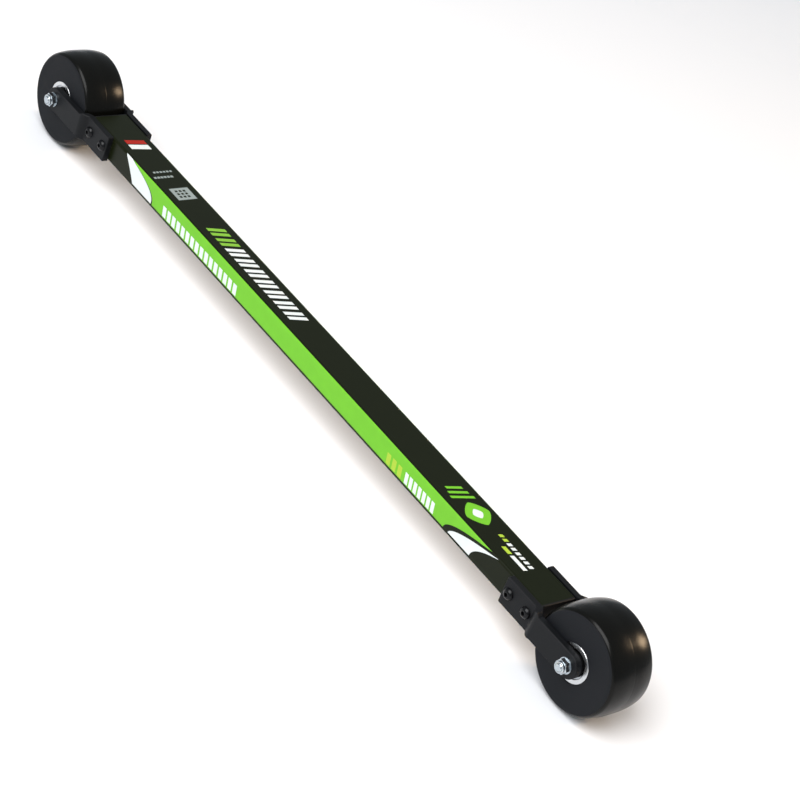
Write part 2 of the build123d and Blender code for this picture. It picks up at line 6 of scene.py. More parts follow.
import bpy
import numpy as np
from mathutils import Matrix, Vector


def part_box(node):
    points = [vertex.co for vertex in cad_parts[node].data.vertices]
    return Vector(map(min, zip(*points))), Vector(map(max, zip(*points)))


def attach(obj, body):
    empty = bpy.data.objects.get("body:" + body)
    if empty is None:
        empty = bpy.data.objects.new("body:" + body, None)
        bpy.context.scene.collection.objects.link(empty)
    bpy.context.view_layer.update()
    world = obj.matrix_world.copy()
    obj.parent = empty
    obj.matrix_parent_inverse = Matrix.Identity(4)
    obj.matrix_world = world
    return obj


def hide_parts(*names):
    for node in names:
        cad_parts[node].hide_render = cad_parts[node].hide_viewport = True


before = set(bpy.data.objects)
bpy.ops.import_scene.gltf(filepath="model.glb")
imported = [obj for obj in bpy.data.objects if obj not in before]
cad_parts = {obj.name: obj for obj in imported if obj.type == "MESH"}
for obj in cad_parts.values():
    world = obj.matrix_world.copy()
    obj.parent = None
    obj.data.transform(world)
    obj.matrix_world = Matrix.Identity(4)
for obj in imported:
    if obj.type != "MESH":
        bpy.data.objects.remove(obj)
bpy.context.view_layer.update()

bl_info = {
    "name": "Roller Ski Finishes",
    "version": (1, 0, 0),
    "blender": (4, 5, 0),
    "location": "3D View > Sidebar > Roller Ski",
    "description": "Builds the printed film, wheels, finishes and stage of a classic roller ski",
    "category": "Object",
}

MM = 0.001
ENDS = ("front", "rear")
HANDS = (1, -1)  # the left and the right side, by the sign of Y


def box_of(node):
    """A CAD node's lowest and highest corners at rest."""
    return [np.array(corner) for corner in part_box(node)]


SHAFT_LOW, SHAFT_HIGH = box_of("shaft")
WHEEL_BOXES = {end: box_of(f"{end}_tyre") for end in ENDS}
HUB_BOXES = {end: box_of(f"{end}_hub") for end in ENDS}


# ---------------------------------------------------------------- sizes and colours
def linear(code):
    """Turns an sRGB hex colour into the linear red, green and blue that a shader takes."""
    channels = np.array([int(code[i:i + 2], 16) for i in (1, 3, 5)]) / 255
    return tuple(np.where(channels <= 0.04045, channels / 12.92, ((channels + 0.055) / 1.055) ** 2.4))


def length(name, millimetres, about):
    """A length property, given in millimetres."""
    return bpy.props.FloatProperty(name=name, description=about, default=millimetres * MM,
                                   unit="LENGTH", subtype="DISTANCE", precision=5)


def ratio(name, value, about):
    """A plain number property."""
    return bpy.props.FloatProperty(name=name, description=about, default=value)


def count(name, value, about):
    """A whole number property."""
    return bpy.props.IntProperty(name=name, description=about, default=value, min=1)


def tint(name, code, about):
    """A colour property, given as an sRGB hex code."""
    return bpy.props.FloatVectorProperty(name=name, description=about, default=linear(code),
                                         subtype="COLOR", size=3, min=0, max=1)


class RollerSkiPrint(bpy.types.PropertyGroup):
    """The shaft's film, and where the side fields and wedges end, along X from its middle."""
    film: length("Film", 0.06, "Thickness of one layer of printed film")
    corner: length("Corner", 2.2, "Outer corner radius of the shaft")
    field_top: length("Field top", 1.8, "How far the side field reaches round the upper corner")
    field_bottom: length("Field bottom", -0.9,
                         "Reach of the side field round the lower corner; below zero it stops above it")
    field_rear_foot: length("Field rear foot", -204, "Rear end of the green field at its bottom edge")
    field_rear_tip: length("Field rear tip", -242, "Rear end of the green field at its top edge")
    field_rear_bow: ratio("Field rear bow", 2.6, "Power of the height that the rear end follows")
    field_front_foot: length("Field front foot", 199, "Front end of the green field at its bottom edge")
    field_front_tip: length("Field front tip", 247.5, "Front end of the green field at its top edge")
    field_front_bow: ratio("Field front bow", 2.1, "Power of the height that the front end follows")
    pinstripe: length("Pinstripe", 1.6, "Dark line between the green field and the rear wedge")
    rear_wedge_foot: length("Rear wedge foot", -234.5, "Rear end of the rear white wedge at its bottom edge")
    rear_wedge_tip: length("Rear wedge tip", -252, "Rear end of the rear white wedge at its top edge")
    rear_wedge_bow: ratio("Rear wedge bow", 1.1, "Power of the height that the wedge's rear end follows")
    front_wedge_rear: length("Front wedge rear", 205, "Rear end of the front white wedge at its bottom edge")
    front_wedge_front: length("Front wedge front", 230.5, "Front end of the front white wedge, bottom edge")
    front_wedge_tip: length("Front wedge tip", 257, "Point of the front white wedge at its top edge")
    front_wedge_rear_bow: ratio("Front wedge rear bow", 1.75, "Power of the height, wedge's rear end")
    front_wedge_front_bow: ratio("Front wedge front bow", 2.1, "Power of the height, wedge's front end")


class RollerSkiWheel(bpy.types.PropertyGroup):
    """Sizes of the moulded tyre."""
    land: length("Land", 8, "Width of the flat band in the middle of the tread")
    drop: length("Drop", 2.4, "How far the tread falls away from the land to the tyre's side")
    shoulder: length("Shoulder", 4.2, "Radius between the tread and the side")
    edge: length("Edge", 0.4, "Rounded edge of the side against the hub")
    gap: length("Gap", 0.03, "Clearance between the rubber and the hub")
    seam_depth: length("Seam depth", 0.05, "Depth of the mould's parting line round the tread")
    seam_width: length("Seam width", 0.9, "Width of the mould's parting line")
    steps: count("Steps", 192, "Faces round the tyre")


class RollerSkiBolt(bpy.types.PropertyGroup):
    """Sizes of the axle bolts that their boxes don't give."""
    head: length("Head", 4, "Height of the hexagon head")
    shank: length("Shank", 6, "Diameter of the shank over the thread's crests")
    corner: length("Corner", 0.45, "Height of the head's turned corners")
    face: length("Face", 0.3, "How far the head's round face lies inside its flats")
    tip: length("Tip", 0.5, "Chamfer at the end of the thread")
    thread: length("Thread", 14, "Length of the thread")
    pitch: length("Pitch", 1, "Thread's rise in one turn")
    groove: length("Groove", 0.55, "Depth of the thread")
    steps: count("Steps", 96, "Faces round the bolt, a multiple of six")


class RollerSkiColours(bpy.types.PropertyGroup):
    """Colours of the finishes."""
    black_film: tint("Black film", "#141809", "Ground colour of the shaft's film")
    green_film: tint("Green film", "#6EB82F", "Side fields, lozenge and ticks")
    white_film: tint("White film", "#D9DEDD", "Wedges and bars")
    lime_film: tint("Lime film", "#A6C23E", "Leading bars on the green field and leading dashes")
    leaf_film: tint("Leaf film", "#7CB33C", "Leading bars on top")
    red_film: tint("Red film", "#A0261C", "Red bar at the rear of the top")
    grey_film: tint("Grey film", "#8F9997", "Patch and small dashes at the rear of the top")
    rubber: tint("Rubber", "#111317", "Tyre sides")
    tread: tint("Tread", "#0A0A08", "Tyre tread")
    coating: tint("Coating", "#131416", "Powder coat of the fork plates")
    oxide: tint("Oxide", "#0C0C0E", "Black screws")
    plastic: tint("Plastic", "#101012", "Moulded end caps")
    seal: tint("Seal", "#0E0E10", "Bearing seals")
    zinc: tint("Zinc", "#C4CBD0", "Plated nuts, bolts and washers")
    aluminium: tint("Aluminium", "#D4D5D6", "Turned hubs and plain parts")
    steel: tint("Steel", "#A9ACB0", "Bearing rings and balls")
    nylon: tint("Nylon", "#DCDDD6", "Cages and locking rings")
    floor: tint("Floor", "#F3F3F5", "Studio floor")


class RollerSkiStage(bpy.types.PropertyGroup):
    """Camera, floor and lights."""
    azimuth: bpy.props.FloatProperty(name="Azimuth", description="Camera's turn from the front right",
                                     default=np.radians(40.087), subtype="ANGLE", unit="ROTATION")
    elevation: bpy.props.FloatProperty(name="Elevation", description="Camera's height above the floor",
                                       default=np.radians(33.385), subtype="ANGLE", unit="ROTATION")
    roll: bpy.props.FloatProperty(name="Roll", description="Camera's roll about its own line of sight",
                                  default=np.radians(22.504), subtype="ANGLE", unit="ROTATION")
    place: bpy.props.FloatVectorProperty(name="Place", description="Camera's place",
                                         default=(1.037775, -1.099039, 0.996236), subtype="XYZ",
                                         unit="LENGTH", size=3)
    lens: ratio("Lens", 105.69, "Camera's focal length in millimetres")
    shift_x: ratio("Shift X", 0.00197, "Sideways shift of the picture")
    shift_y: ratio("Shift Y", 0.03795, "Upwards shift of the picture")
    floor: length("Floor", 16000, "Side of the studio floor")
    world: ratio("World", 0.42, "Brightness of the room")
    overhead: ratio("Overhead", 145, "Power of the overhead softbox in watts")
    glow: ratio("Glow", 5.2, "Power of the small warm softbox behind the ski in watts")


# ---------------------------------------------------------------- meshes from arrays
SHARP_TURN = 35  # degrees; an edge that turns by more stays crisp


def grid_faces(rows, columns, wrap_rows=False, wrap_columns=False):
    """Corner numbers of every quad on a grid of rows by columns, closed round on itself where asked."""
    i = np.arange(rows if wrap_rows else rows - 1)[:, None]
    j = np.arange(columns if wrap_columns else columns - 1)[None, :]
    i2, j2 = (i + 1) % rows, (j + 1) % columns
    corners = (i * columns + j, i2 * columns + j, i2 * columns + j2, i * columns + j2)
    return np.stack(corners, -1).reshape(-1, 4)


def outwards(points, quads):
    """Turns every quad over if the volume they enclose, summed over its two triangles each, is negative."""
    a, b, c, d = (points[quads[:, k]] for k in range(4))
    volume = np.einsum("ij,ij->", a, np.cross(b, c)) + np.einsum("ij,ij->", a, np.cross(c, d))
    return quads[:, ::-1] if volume < 0 else quads


def add_piece(name, points, quads, materials, body, replaces=(), face_material=None):
    """Puts points and quads into a mesh object that rides on a body. A quad may repeat a corner."""
    mesh = bpy.data.meshes.new(name)
    faces = [list(dict.fromkeys(face)) for face in quads.tolist()]
    mesh.from_pydata(points.tolist(), [], faces)
    mesh.polygons.foreach_set("use_smooth", np.ones(len(faces), bool))
    for material in materials:
        mesh.materials.append(material)
    if face_material is not None:
        mesh.polygons.foreach_set("material_index", face_material.astype(np.int32))
    mesh.set_sharp_from_angle(angle=np.radians(SHARP_TURN))
    mesh.update()
    piece = bpy.data.objects.new(name, mesh)
    bpy.context.scene.collection.objects.link(piece)
    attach(piece, body)
    if replaces:
        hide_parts(*replaces)
    return piece


def shells(outer, inner):
    """Closes stacks of matching outer and inner grids into thin solids.

    Each solid is the outer grid, the inner grid turned over, and a rim that joins the two edges.
    """
    stack, rows, columns = outer.shape[:3]
    size = rows * columns
    top = grid_faces(rows, columns)
    numbers = np.arange(size).reshape(rows, columns)
    edge = np.concatenate([numbers[0, :-1], numbers[:-1, -1], numbers[-1, :0:-1], numbers[:0:-1, 0]])
    following = np.roll(edge, -1)
    rim = np.stack([edge, following, following + size, edge + size], -1)
    one = np.concatenate([top, top[:, ::-1] + size, rim])
    points = np.concatenate([outer.reshape(stack, size, 3), inner.reshape(stack, size, 3)], 1)
    quads = one[None] + (np.arange(stack) * 2 * size)[:, None, None]
    return points.reshape(-1, 3), quads.reshape(-1, 4)


# ---------------------------------------------------------------- printed film on the shaft
GROUND, OVERPRINT = 0, 1  # layers of film: on the shaft, and on another film
FILM_GAP = 0.1  # share of a layer's thickness left free under it, so that no two surfaces coincide
FIELD_ROWS, LOZENGE_ROWS = 40, 33
WEDGE_END = 0.97  # share of the field's height at which the front wedge's point is blunted
LOZENGE_END = 0.985  # share of its half width at which the lozenge's points are blunted
LOZENGE_POWER = 1.35  # 1 gives straight edges, 2 an ellipse
TOP_SLANT, REAR_SLANT, SIDE_SLANT = 0.28, 0.14, 0.2  # how far a bar leans along for each unit across
SIDE_BAR_FOOT, SIDE_BAR_HEAD = 1.6, 10.2  # millimetres up from the side's lower edge


def girth(print_sizes):
    """Distances round the shaft's section from the middle of its top: flat, corner and side lengths."""
    width, height = SHAFT_HIGH[1] - SHAFT_LOW[1], SHAFT_HIGH[2] - SHAFT_LOW[2]
    flat = width / 2 - print_sizes.corner
    return flat, print_sizes.corner * np.pi / 2, height - 2 * print_sizes.corner


def on_shaft(x, around, lift, print_sizes):
    """Points on the shaft's skin, lifted off it.

    Going a distance round the section from the middle of the top, the point runs along the flat, turns by
    distance over radius through the upper corner, runs down the side and turns again through the lower
    corner. The lift is along the outward normal.
    """
    flat, curve, side = girth(print_sizes)
    radius = print_sizes.corner
    far, hand = np.abs(around), np.sign(around)
    upper = np.clip((far - flat) / radius, 0, np.pi / 2)
    lower = np.clip((far - flat - curve - side) / radius, 0, np.pi / 2)
    out = np.clip(far, 0, flat) + radius * (np.sin(upper) + np.cos(lower) - 1)
    down = radius * (1 - np.cos(upper) + np.sin(lower)) + np.clip(far - flat - curve, 0, side)
    normal_out, normal_up = np.sin(upper) * np.cos(lower), np.cos(upper) - np.sin(lower)
    return np.stack([x, hand * (out + lift * normal_out), SHAFT_HIGH[2] - down + lift * normal_up], -1)


def film(x, around, layer, print_sizes):
    """One layer of film over a stack of grids of places on the shaft: a thin solid for each grid, from the
    layer's number plus the gap to its number plus one, in thicknesses of film above the skin."""
    under = (layer + FILM_GAP) * print_sizes.film
    over = (layer + 1) * print_sizes.film
    points, quads = shells(on_shaft(x, around, over, print_sizes), on_shaft(x, around, under, print_sizes))
    return points, outwards(points, quads)


def side_field(rear, front, print_sizes, columns, top=1.0):
    """Grids over both sides of the shaft between two bowed ends.

    An end is (foot, tip, bow): at height h, 0 at the field's bottom and 1 at its top,
    it lies at foot + (tip - foot) * h ** bow. Between the ends the grid is ruled straight,
    and it stops at the height top.
    """
    flat, curve, side = girth(print_sizes)
    high = flat + curve - print_sizes.field_top
    low = flat + curve + side + print_sizes.field_bottom
    height = np.linspace(0, top, FIELD_ROWS)
    ends = [foot + (tip - foot) * height ** bow for foot, tip, bow in (rear, front)]
    share = np.linspace(0, 1, columns)[:, None]
    x = ends[0] + (ends[1] - ends[0]) * share
    around = np.broadcast_to(low + (high - low) * height, x.shape)
    return np.stack([x, x[:, ::-1]]), np.stack([-around, around[:, ::-1]])


def spaced(first, spacing, number):
    """Places in an even row: the first plus the spacing times 0, 1, 2 and so on."""
    return first + spacing * np.arange(number)


def bars(starts, length, near, far, slant=0.0):
    """Slanted bars across the print, given in millimetres, as a stack of grids.

    Each runs from near to far round the section. Along the shaft it reaches from its start to its start
    plus its length, and moves on by slant times the distance from near.
    """
    starts, length, near, far = (np.reshape(v, (-1, 1, 1)) * MM for v in (starts, length, near, far))
    ends = np.array([0.0, 1.0])
    around = near + (far - near) * ends
    along = starts + length * ends[:, None]
    stack = np.broadcast_shapes(around.shape, along.shape)
    around = np.broadcast_to(around, stack)
    return np.broadcast_to(along, stack) + slant * (around - near), around


def lozenge(centre, half_length, half_width):
    """A soft-cornered lozenge, given in millimetres: at distance y from its middle line it reaches
    half length times (1 - |y / half width| ** power) ** (1 / power) each way."""
    y = np.linspace(-LOZENGE_END, LOZENGE_END, LOZENGE_ROWS)
    reach = half_length * (1 - np.abs(y) ** LOZENGE_POWER) ** (1 / LOZENGE_POWER)
    x = centre + np.array([-1, 1])[:, None] * reach
    return x[None] * MM, np.broadcast_to(y * half_width, x.shape)[None] * MM


def add_film(name, parts, layer, material, print_sizes):
    """One film piece made of several stacks of grids."""
    points, quads, total = [], [], 0
    for x, around in parts:
        new_points, new_quads = film(x, around, layer, print_sizes)
        points.append(new_points)
        quads.append(new_quads + total)
        total += len(new_points)
    return add_piece(name, np.concatenate(points), np.concatenate(quads), [material], "frame")


# ---------------------------------------------------------------- tyre
SEAM_STEPS, LAND_STEPS, CROWN_STEPS, SHOULDER_STEPS, SIDE_STEPS, EDGE_STEPS = 9, 6, 18, 14, 12, 5
SEAM_FALL = 2.2  # how fast the parting line's bell curve dies out, over its width


def arc(centre_radius, centre_along, radius, start, stop, steps):
    """Points of a circle in a wheel's profile, as (radius from the axle, distance along it): the centre plus
    the circle's radius times the turn's sine and cosine."""
    turn = np.linspace(start, stop, steps)
    return np.stack([centre_radius + radius * np.sin(turn), centre_along + radius * np.cos(turn)], -1)


def tyre_profile(wheel, half, outer, bore):
    """Half of a tyre's section, from mid-tread to the bore, as (radius, distance along the axle).

    A flat land with the parting line pressed in as a bell curve, a crown arc tangent to the land that has
    fallen by the drop at the side, a shoulder arc tangent to the crown and the side, the flat side, and a
    rounded edge at the bore. Also gives the number of rows that are tread, to the middle of the shoulder.
    """
    land, ball, edge = wheel.land / 2, wheel.shoulder, wheel.edge
    crown = ((half - land) ** 2 + wheel.drop ** 2) / (2 * wheel.drop)
    shoulder_along = half - ball
    shoulder_turn = np.arccos((shoulder_along - land) / (crown - ball))
    shoulder_radius = outer - crown + (crown - ball) * np.sin(shoulder_turn)
    along = np.concatenate([np.linspace(0, wheel.seam_width, SEAM_STEPS),
                            np.linspace(wheel.seam_width, land, LAND_STEPS)[1:]])
    dip = wheel.seam_depth * np.exp(-(SEAM_FALL * along / wheel.seam_width) ** 2)
    sides = np.linspace(shoulder_radius, bore + edge, SIDE_STEPS)[1:-1]
    profile = np.concatenate([
        np.stack([outer - dip, along], -1),
        arc(outer - crown, land, crown, np.pi / 2, shoulder_turn, CROWN_STEPS)[1:],
        arc(shoulder_radius, shoulder_along, ball, shoulder_turn, 0, SHOULDER_STEPS)[1:],
        np.stack([sides, np.full_like(sides, half)], -1),
        arc(bore + edge, half - edge, edge, 0, -np.pi / 2, EDGE_STEPS),
    ])
    return profile, len(along) + CROWN_STEPS - 1 + SHOULDER_STEPS // 2


def revolved(profile, middle, steps):
    """Carries a closed profile of (radius, distance along) round an axle parallel to Y: X and Z are the
    middle's plus the radius times the turn's cosine and sine."""
    turn = np.linspace(0, 2 * np.pi, steps, endpoint=False)[:, None]
    radius, along = profile[None, :, 0], profile[None, :, 1]
    points = np.stack([middle[0] + radius * np.cos(turn), middle[1] + along + 0 * turn,
                       middle[2] + radius * np.sin(turn)], -1)
    return points.reshape(-1, 3), grid_faces(steps, profile.shape[0], True, True)


# ---------------------------------------------------------------- axle bolt
CONE_ROWS, ROWS_EACH_TURN = 8, 10  # rows on the head's turned corners, and on one turn of the thread
HAIR = 1e-9  # metres; far below any real size, so that rounding doesn't decide


def between_poles(points):
    """Joins a grid of rows round an axle into a closed solid. The first and last rows are single points."""
    rows, columns = points.shape[:2]
    last = (rows - 2) * columns + 1
    numbers = np.concatenate([np.zeros(columns, int), np.arange(1, last), np.full(columns, last)])
    corners = np.concatenate([points[0, :1], points[1:-1].reshape(-1, 3), points[-1, :1]])
    return corners, outwards(corners, numbers[grid_faces(rows, columns, wrap_columns=True)])


def threaded_bolt(bolt, low, high):
    """A hexagon bolt along Y, head at +Y, as wide as its box.

    Each row is a place along the axle and a turned radius. In the head the surface is the lesser of that
    radius and the hexagon's, apothem over the cosine of the turn from the nearest flat's middle. In the
    thread it is the lesser of that radius and the crest less a groove: the groove's depth times one less
    twice the distance, in pitches, from the groove's middle, which climbs one pitch each turn.
    """
    apothem, middle, crest = (high[2] - low[2]) / 2, (low + high) / 2, bolt.shank / 2
    out, under, tip, runout = high[1], high[1] - bolt.head, low[1], low[1] + bolt.thread
    corner = apothem / np.cos(np.pi / 6)
    cone = np.linspace(0, 1, CONE_ROWS)
    climb = np.linspace(runout, tip + bolt.tip, int(ROWS_EACH_TURN * bolt.thread / bolt.pitch))
    along = np.concatenate([[out], out - bolt.corner * cone, [under, under], climb, [tip, tip]])
    face = apothem - bolt.face
    turned = np.concatenate([[0], face + (corner - face) * cone, [corner, crest], np.full(climb.shape, crest),
                             [crest - bolt.tip, 0]])
    turn = np.linspace(0, 2 * np.pi, bolt.steps, endpoint=False)
    flat = apothem / np.cos(np.mod(turn, np.pi / 3) - np.pi / 6)
    phase = np.mod(along[:, None] / bolt.pitch - turn / (2 * np.pi), 1)
    depth = bolt.groove * np.clip(runout - along, 0, bolt.pitch)[:, None] / bolt.pitch
    thread = crest - depth * (1 - 2 * np.abs(phase - 0.5))
    limit = np.where(along[:, None] > under - HAIR, flat, thread)
    radius = np.minimum(turned[:, None], limit)
    return np.stack([middle[0] + radius * np.cos(turn), along[:, None] + 0 * turn,
                     middle[2] + radius * np.sin(turn)], -1)


# ---------------------------------------------------------------- finishes
def add_node(tree, kind, inputs=None, **settings):
    """Adds one node with its settings; an input is a value, or the output that is linked to it."""
    node = tree.nodes.new(kind)
    for key, value in settings.items():
        setattr(node, key, value)
    for key, value in (inputs or {}).items():
        if isinstance(value, bpy.types.NodeSocket):
            tree.links.new(value, node.inputs[key])
        else:
            node.inputs[key].default_value = value
    return node


def new_finish(name, **shader):
    """A material with one Principled shader; the settings name its sockets with _ for a space."""
    material = bpy.data.materials.new(name)
    material.use_nodes = True
    principled = material.node_tree.nodes["Principled BSDF"]
    for key, value in shader.items():
        principled.inputs[key.replace("_", " ")].default_value = value
    return material, material.node_tree, principled


def rgba(colour, gain):
    """A property's colour with full opacity, made lighter or darker by the gain."""
    return (*(min(1.0, channel * gain) for channel in colour), 1.0)


def colours():
    """The finishes' colours, as they are set on the scene."""
    return bpy.context.scene.roller_ski_colours


MIX_FACTOR, MIX_A, MIX_B, MIX_RESULT = 0, 6, 7, 2  # sockets of a colour mix
WAVE_PERIOD = 0.314  # metres between the crests of a wave texture whose scale is 1


def add_tint(tree, shader, pattern, colour, dark, light):
    """Lets a pattern pick the base colour between two gains of one colour."""
    mix = add_node(tree, "ShaderNodeMix", {MIX_FACTOR: pattern.outputs[0], MIX_A: rgba(colour, dark),
                                           MIX_B: rgba(colour, light)}, data_type="RGBA")
    tree.links.new(mix.outputs[MIX_RESULT], shader.inputs["Base Color"])


def add_gloss(tree, shader, pattern, low, high):
    """Lets a pattern pick the roughness between two values."""
    spread = add_node(tree, "ShaderNodeMapRange",
                      {"Value": pattern.outputs[0], "To Min": low, "To Max": high})
    tree.links.new(spread.outputs["Result"], shader.inputs["Roughness"])


def add_relief(tree, shader, pattern, depth, output=0):
    """Raises a pattern by a depth in metres, as relief on the surface."""
    bump = add_node(tree, "ShaderNodeBump", {"Height": pattern.outputs[output], "Distance": depth})
    tree.links.new(bump.outputs["Normal"], shader.inputs["Normal"])


def printed_film(name, roughness=0.38):
    """Vinyl film, screen printed and laminated: satin, an even colour with faint mottling of the ink,
    and a slow ripple where the film is drawn over the extrusion, which breaks up reflections."""
    material, tree, shader = new_finish(name, IOR=1.5, Specular_IOR_Level=0.12)
    place = add_node(tree, "ShaderNodeTexCoord").outputs["Object"]
    mottle = add_node(tree, "ShaderNodeTexNoise", {"Vector": place, "Scale": 1 / (9 * MM), "Detail": 3.0})
    add_tint(tree, shader, mottle, getattr(colours(), name), dark=0.93, light=1.07)
    add_gloss(tree, shader, mottle, low=roughness * 0.85, high=roughness * 1.15)
    ripple = add_node(tree, "ShaderNodeTexNoise", {"Vector": place, "Scale": 1 / (6 * MM), "Detail": 1.0})
    add_relief(tree, shader, ripple, depth=0.01 * MM)
    return material


def powder_coat():
    """Steel plate with black epoxy powder, stoved: satin, with the orange peel of the powder, about 0.9 mm
    from crest to crest, and slightly glossier where the powder flowed thin."""
    material, tree, shader = new_finish("black_powder_coat", IOR=1.5, Specular_IOR_Level=0.15)
    place = add_node(tree, "ShaderNodeTexCoord").outputs["Object"]
    flow = add_node(tree, "ShaderNodeTexNoise", {"Vector": place, "Scale": 1 / (7 * MM), "Detail": 2.0})
    add_tint(tree, shader, flow, colours().coating, dark=0.88, light=1.12)
    add_gloss(tree, shader, flow, low=0.4, high=0.52)
    peel = add_node(tree, "ShaderNodeTexVoronoi", {"Vector": place, "Scale": 1 / (0.9 * MM)},
                    feature="SMOOTH_F1")
    add_relief(tree, shader, peel, depth=0.045 * MM, output="Distance")
    return material


def black_oxide():
    """Alloy steel screws, chemically blackened and oiled: near-black, a soft metallic glint on the dome."""
    material, tree, shader = new_finish("black_oxide_steel", Metallic=0.55, IOR=1.5)
    place = add_node(tree, "ShaderNodeTexCoord").outputs["Object"]
    bloom = add_node(tree, "ShaderNodeTexNoise", {"Vector": place, "Scale": 1 / (2.5 * MM), "Detail": 4.0})
    add_tint(tree, shader, bloom, colours().oxide, dark=0.7, light=1.6)
    add_gloss(tree, shader, bloom, low=0.2, high=0.34)
    return material


def zinc_plate():
    """Steel with bright zinc and a clear passivate: bluish silver, with clouds in the gloss and fine pits."""
    material, tree, shader = new_finish("bright_zinc_plate", Metallic=1.0)
    place = add_node(tree, "ShaderNodeTexCoord").outputs["Object"]
    cloud = add_node(tree, "ShaderNodeTexNoise", {"Vector": place, "Scale": 1 / (1.8 * MM), "Detail": 4.0})
    add_tint(tree, shader, cloud, colours().zinc, dark=0.82, light=1.1)
    add_gloss(tree, shader, cloud, low=0.16, high=0.32)
    pits = add_node(tree, "ShaderNodeTexNoise", {"Vector": place, "Scale": 1 / (0.5 * MM), "Detail": 2.0})
    add_relief(tree, shader, pits, depth=0.02 * MM)
    return material


def turned_aluminium():
    """Aluminium faced in a lathe: bright, with tool marks in rings about the axle, drawn at a 0.5 mm feed
    because the real 0.1 mm is too fine to show. Both wheels share it: the pattern's centre is found from
    the distance along X without its sign."""
    material, tree, shader = new_finish("turned_aluminium", Metallic=1.0)
    place = add_node(tree, "ShaderNodeTexCoord").outputs["Object"]
    axes = add_node(tree, "ShaderNodeSeparateXYZ", {"Vector": place})
    along = add_node(tree, "ShaderNodeMath", {0: axes.outputs["X"]}, operation="ABSOLUTE")
    middle = sum(WHEEL_BOXES["front"]) / 2
    from_axle = add_node(tree, "ShaderNodeMath", {0: along.outputs[0], 1: float(middle[0])},
                         operation="SUBTRACT")
    above_axle = add_node(tree, "ShaderNodeMath", {0: axes.outputs["Z"], 1: float(middle[2])},
                          operation="SUBTRACT")
    spot = add_node(tree, "ShaderNodeCombineXYZ", {"X": from_axle.outputs[0], "Y": above_axle.outputs[0]})
    rings = add_node(tree, "ShaderNodeTexWave",
                     {"Vector": spot.outputs[0], "Scale": WAVE_PERIOD / (0.5 * MM)},
                     wave_type="RINGS", rings_direction="Z")
    add_relief(tree, shader, rings, depth=0.012 * MM)
    stain = add_node(tree, "ShaderNodeTexNoise", {"Vector": place, "Scale": 1 / (4 * MM), "Detail": 3.0})
    add_tint(tree, shader, stain, colours().aluminium, dark=0.88, light=1.08)
    add_gloss(tree, shader, stain, low=0.18, high=0.3)
    return material


def extruded_aluminium():
    """Bare extruded aluminium: dull silver with die lines along the bar."""
    material, tree, shader = new_finish("extruded_aluminium", Metallic=1.0)
    place = add_node(tree, "ShaderNodeTexCoord").outputs["Object"]
    drawn = add_node(tree, "ShaderNodeMapping", {"Vector": place, "Scale": (0.05, 1.0, 1.0)})
    lines = add_node(tree, "ShaderNodeTexNoise", {"Vector": drawn.outputs[0], "Scale": 1 / (0.8 * MM),
                                                  "Detail": 2.0})
    add_tint(tree, shader, lines, colours().aluminium, dark=0.75, light=0.95)
    add_gloss(tree, shader, lines, low=0.35, high=0.5)
    return material


def ground_steel():
    """Hardened bearing steel, ground and lapped: darker than aluminium and close to a mirror."""
    material, tree, shader = new_finish("ground_bearing_steel", Metallic=1.0)
    place = add_node(tree, "ShaderNodeTexCoord").outputs["Object"]
    haze = add_node(tree, "ShaderNodeTexNoise", {"Vector": place, "Scale": 1 / (1.5 * MM), "Detail": 2.0})
    add_tint(tree, shader, haze, colours().steel, dark=0.9, light=1.05)
    add_gloss(tree, shader, haze, low=0.08, high=0.18)
    return material


def seal_rubber():
    """Nitrile rubber moulded on a steel washer: dull black with a fine even grain."""
    material, tree, shader = new_finish("nitrile_seal_rubber", IOR=1.52, Specular_IOR_Level=0.25)
    place = add_node(tree, "ShaderNodeTexCoord").outputs["Object"]
    grain = add_node(tree, "ShaderNodeTexNoise", {"Vector": place, "Scale": 1 / (0.4 * MM), "Detail": 2.0})
    add_tint(tree, shader, grain, colours().seal, dark=0.8, light=1.2)
    add_gloss(tree, shader, grain, low=0.5, high=0.62)
    add_relief(tree, shader, grain, depth=0.02 * MM)
    return material


def natural_nylon():
    """Injection moulded nylon in its natural colour: milky, with a little light carried under the surface."""
    material, tree, shader = new_finish("natural_nylon", IOR=1.53, Subsurface_Weight=0.3,
                                        Subsurface_Scale=0.8 * MM)
    place = add_node(tree, "ShaderNodeTexCoord").outputs["Object"]
    flow = add_node(tree, "ShaderNodeTexNoise", {"Vector": place, "Scale": 1 / (1.5 * MM), "Detail": 2.0})
    add_tint(tree, shader, flow, colours().nylon, dark=0.92, light=1.05)
    add_gloss(tree, shader, flow, low=0.38, high=0.5)
    return material


def moulded_cap_plastic():
    """Black polypropylene from a spark-eroded mould: satin, with an even grain about 0.6 mm across."""
    material, tree, shader = new_finish("spark_textured_polypropylene", IOR=1.49, Specular_IOR_Level=0.25)
    place = add_node(tree, "ShaderNodeTexCoord").outputs["Object"]
    grain = add_node(tree, "ShaderNodeTexNoise", {"Vector": place, "Scale": 1 / (0.6 * MM), "Detail": 3.0})
    add_tint(tree, shader, grain, colours().plastic, dark=0.85, light=1.15)
    add_gloss(tree, shader, grain, low=0.42, high=0.56)
    add_relief(tree, shader, grain, depth=0.03 * MM)
    return material


